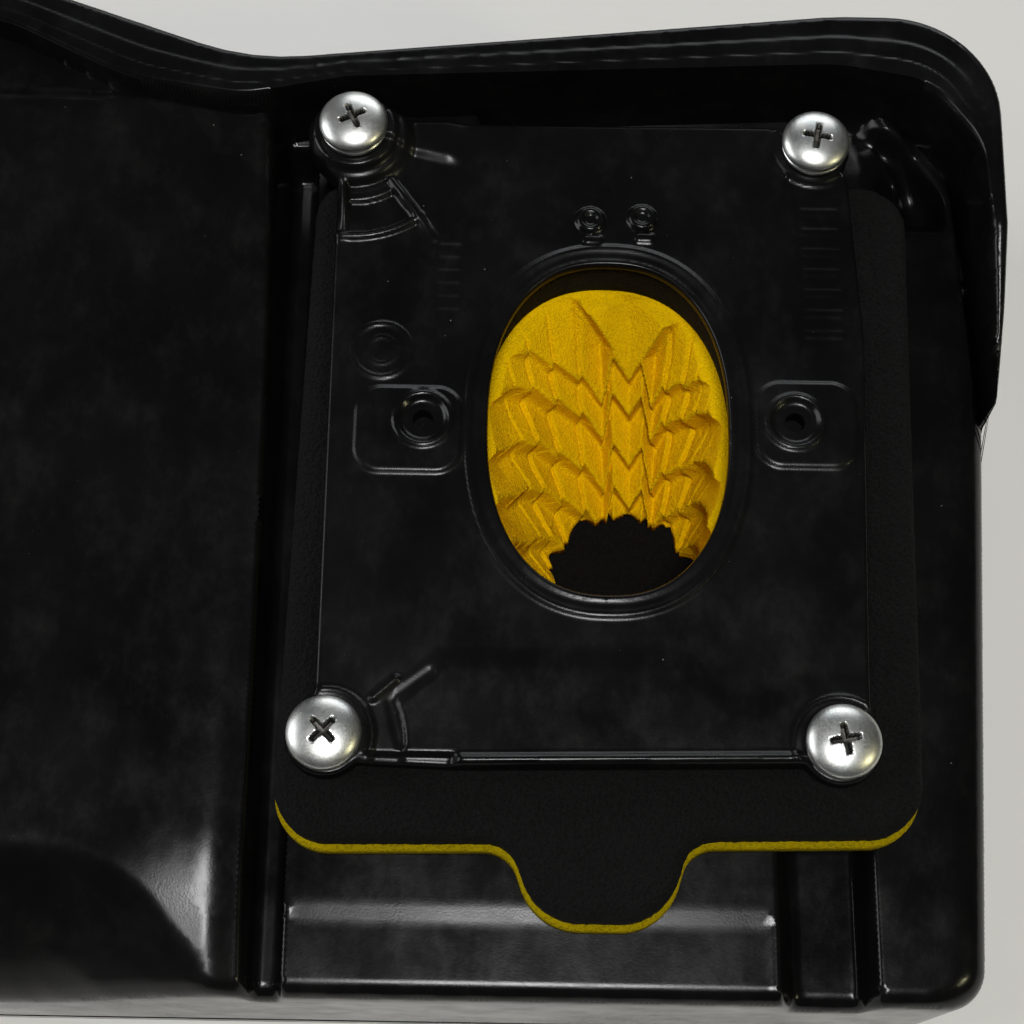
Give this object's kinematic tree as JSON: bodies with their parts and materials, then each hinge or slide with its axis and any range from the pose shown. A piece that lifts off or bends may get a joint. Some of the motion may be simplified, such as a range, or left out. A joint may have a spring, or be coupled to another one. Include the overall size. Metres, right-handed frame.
{
  "type": "air filter",
  "caption": "Foam air filter with a sculpted pocket, clamped under an oval intake plate in its moulded air-cleaner case.",
  "frame": {"origin": "on the underside of the case, below the centre of the oval intake hole", "axes": "+X towards the narrow shoulder beside the filter, +Y towards the raised rim, +Z out of the intake"},
  "size_m": [0.243, 0.1853, 0.0747],
  "materials": {
    "case_plastic": "satin black moulded plastic",
    "plate_plastic": "semi-matt black moulded plastic",
    "cage_plastic": "matt black moulded plastic",
    "foam_black": "oiled open-cell foam",
    "foam_yellow": "oiled open-cell foam",
    "zinc_steel": "bright zinc plate",
    "brass": "plain brass",
    "rubber": "matt black rubber"
  },
  "bodies": {
    "case": {"case_body": "case_plastic", "case_base": "case_plastic", "base_seal": "rubber", "base_screw_1": "zinc_steel", "base_screw_2": "zinc_steel", "base_screw_3": "zinc_steel", "base_screw_4": "zinc_steel", "base_screw_5": "zinc_steel", "base_screw_6": "zinc_steel", "support_cage": "cage_plastic", "outlet_spigot": "case_plastic", "outlet_joint": "rubber", "outlet_clamp": "zinc_steel", "outlet_clamp_screw": "zinc_steel", "thread_insert_1": "brass", "thread_insert_2": "brass", "thread_insert_3": "brass", "thread_insert_4": "brass"},
    "drain_stopper": {"drain_cap": "rubber", "drain_clip": "zinc_steel"},
    "filter_element": {"foam_flange_black": "foam_black", "foam_flange_yellow": "foam_yellow", "foam_core_yellow": "foam_yellow", "foam_backing_black": "foam_black"},
    "plate": {"intake_plate": "plate_plastic"},
    "washer_1_body": {"washer_1": "zinc_steel"},
    "washer_2_body": {"washer_2": "zinc_steel"},
    "washer_3_body": {"washer_3": "zinc_steel"},
    "washer_4_body": {"washer_4": "zinc_steel"},
    "screw_1_body": {"plate_screw_1": "zinc_steel"},
    "screw_2_body": {"plate_screw_2": "zinc_steel"},
    "screw_3_body": {"plate_screw_3": "zinc_steel"},
    "screw_4_body": {"plate_screw_4": "zinc_steel"}
  },
  "joints": [
    {"name": "filter_lift", "type": "slide", "parent": "case", "child": "filter_element", "axis": [0, 0, 1], "range_m": [0, 0.06]},
    {"name": "plate_lift", "type": "slide", "parent": "filter_element", "child": "plate", "axis": [0, 0, 1], "range_m": [0, 0.04]},
    {"name": "drain_pull", "type": "slide", "parent": "case", "child": "drain_stopper", "axis": [-1, 0, 0], "range_m": [0, 0.016]},
    {"name": "screw_1_rise", "type": "slide", "parent": "plate", "child": "washer_1_body", "axis": [0, 0, 1], "range_m": [0, 0.016]},
    {"name": "screw_2_rise", "type": "slide", "parent": "plate", "child": "washer_2_body", "axis": [0, 0, 1], "range_m": [0, 0.016]},
    {"name": "screw_3_rise", "type": "slide", "parent": "plate", "child": "washer_3_body", "axis": [0, 0, 1], "range_m": [0, 0.016]},
    {"name": "screw_4_rise", "type": "slide", "parent": "plate", "child": "washer_4_body", "axis": [0, 0, 1], "range_m": [0, 0.016]},
    {"name": "screw_1_turn", "type": "hinge", "parent": "washer_1_body", "child": "screw_1_body", "pos_m": [-0.0465, 0.056, 0.066], "axis": [0, 0, 1], "range_deg": [0, 7200]},
    {"name": "screw_2_turn", "type": "hinge", "parent": "washer_2_body", "child": "screw_2_body", "pos_m": [0.0381, 0.056, 0.066], "axis": [0, 0, 1], "range_deg": [0, 7200]},
    {"name": "screw_3_turn", "type": "hinge", "parent": "washer_3_body", "child": "screw_3_body", "pos_m": [-0.0465, -0.056, 0.066], "axis": [0, 0, 1], "range_deg": [0, 7200]},
    {"name": "screw_4_turn", "type": "hinge", "parent": "washer_4_body", "child": "screw_4_body", "pos_m": [0.0381, -0.056, 0.066], "axis": [0, 0, 1], "range_deg": [0, 7200]}
  ],
  "couplings": [
    {"joint": "screw_1_turn", "follows": "screw_1_rise", "rad_per_m": 7854},
    {"joint": "screw_2_turn", "follows": "screw_2_rise", "rad_per_m": 7854},
    {"joint": "screw_3_turn", "follows": "screw_3_rise", "rad_per_m": 7854},
    {"joint": "screw_4_turn", "follows": "screw_4_rise", "rad_per_m": 7854}
  ]
}
